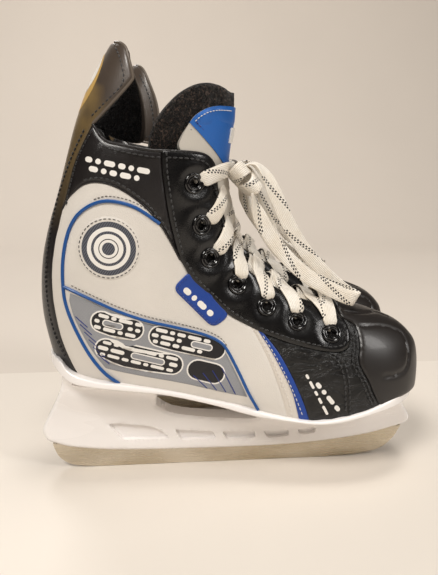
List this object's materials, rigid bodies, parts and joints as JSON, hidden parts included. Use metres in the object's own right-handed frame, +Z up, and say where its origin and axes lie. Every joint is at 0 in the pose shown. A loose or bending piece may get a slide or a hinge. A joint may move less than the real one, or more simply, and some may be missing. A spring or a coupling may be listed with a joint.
{
  "type": "ice hockey skates",
  "caption": "Pair of child's ice hockey skates: laced boots with a padded tongue and tendon guard, white blade holders and steel runners.",
  "frame": {"origin": "middle of the pair's footprint, on the ice under the blades", "axes": "+X towards the toes, +Y from the right skate to the left skate, +Z up"},
  "size_m": [0.243, 0.172, 0.2563],
  "materials": {
    "steel": "satin",
    "white_plastic": "gloss",
    "board": "matte",
    "fleece": "matte",
    "black_gloss": "gloss",
    "black_leather": "satin",
    "dark_leather": "satin",
    "grey_leather": "satin",
    "guard_grey": "satin",
    "black_enamel": "gloss",
    "blue": "satin",
    "ring_print": "matte",
    "mesh_print": "matte",
    "lace": "matte"
  },
  "bodies": {
    "right_skate": {"right_runner": "steel", "right_blade_holder": "white_plastic", "right_outsole": "white_plastic", "right_insole_board": "board", "right_footbed": "fleece", "right_liner": "fleece", "right_toe_cap": "black_gloss", "right_vamp": "black_leather", "right_quarter_outer": "grey_leather", "right_quarter_inner": "grey_leather", "right_stripe_outer": "blue", "right_stripe_inner": "blue", "right_collar_outer": "dark_leather", "right_collar_inner": "dark_leather", "right_backstay": "dark_leather", "right_facing_outer": "black_gloss", "right_facing_inner": "black_gloss", "right_eyelets_outer": "black_enamel", "right_eyelets_inner": "black_enamel", "right_tongue": "fleece", "right_ring_patch": "ring_print", "right_side_badge": "blue", "right_mesh_panel": "mesh_print", "right_lace_laced": "lace", "right_lace_free_outer": "lace", "right_lace_free_inner": "lace"},
    "right_tongue_flap": {"right_tongue_flap": "fleece", "right_tongue_badge": "blue"},
    "right_tendon_guard": {"right_tendon_guard": "guard_grey"},
    "left_skate": {"left_runner": "steel", "left_blade_holder": "white_plastic", "left_outsole": "white_plastic", "left_insole_board": "board", "left_footbed": "fleece", "left_liner": "fleece", "left_toe_cap": "black_gloss", "left_vamp": "black_leather", "left_quarter_outer": "grey_leather", "left_quarter_inner": "grey_leather", "left_stripe_outer": "blue", "left_stripe_inner": "blue", "left_collar_outer": "dark_leather", "left_collar_inner": "dark_leather", "left_backstay": "dark_leather", "left_facing_outer": "black_gloss", "left_facing_inner": "black_gloss", "left_eyelets_outer": "black_enamel", "left_eyelets_inner": "black_enamel", "left_tongue": "fleece", "left_ring_patch": "ring_print", "left_side_badge": "blue", "left_mesh_panel": "mesh_print", "left_lace_laced": "lace", "left_lace_free_outer": "lace", "left_lace_free_inner": "lace"},
    "left_tongue_flap": {"left_tongue_flap": "fleece", "left_tongue_badge": "blue"},
    "left_tendon_guard": {"left_tendon_guard": "guard_grey"}
  },
  "joints": [
    {"name": "left_skate_apart", "type": "slide", "parent": "right_skate", "child": "left_skate", "axis": [0, 1, 0], "range_m": [0, 0.15]},
    {"name": "right_tongue_flex", "type": "hinge", "parent": "right_skate", "child": "right_tongue_flap", "pos_m": [-0.0085, -0.046, 0.195], "axis": [0, 1, 0], "range_deg": [0, 30], "stiffness_Nm_per_rad": 0.05},
    {"name": "right_tendon_guard_flex", "type": "hinge", "parent": "right_skate", "child": "right_tendon_guard", "pos_m": [-0.0985, -0.046, 0.203], "axis": [0, -1, 0], "range_deg": [0, 20], "stiffness_Nm_per_rad": 0.3},
    {"name": "left_tongue_flex", "type": "hinge", "parent": "left_skate", "child": "left_tongue_flap", "pos_m": [0.0005, 0.046, 0.195], "axis": [0, 1, 0], "range_deg": [0, 30], "stiffness_Nm_per_rad": 0.05},
    {"name": "left_tendon_guard_flex", "type": "hinge", "parent": "left_skate", "child": "left_tendon_guard", "pos_m": [-0.0895, 0.046, 0.203], "axis": [0, -1, 0], "range_deg": [0, 20], "stiffness_Nm_per_rad": 0.3}
  ]
}
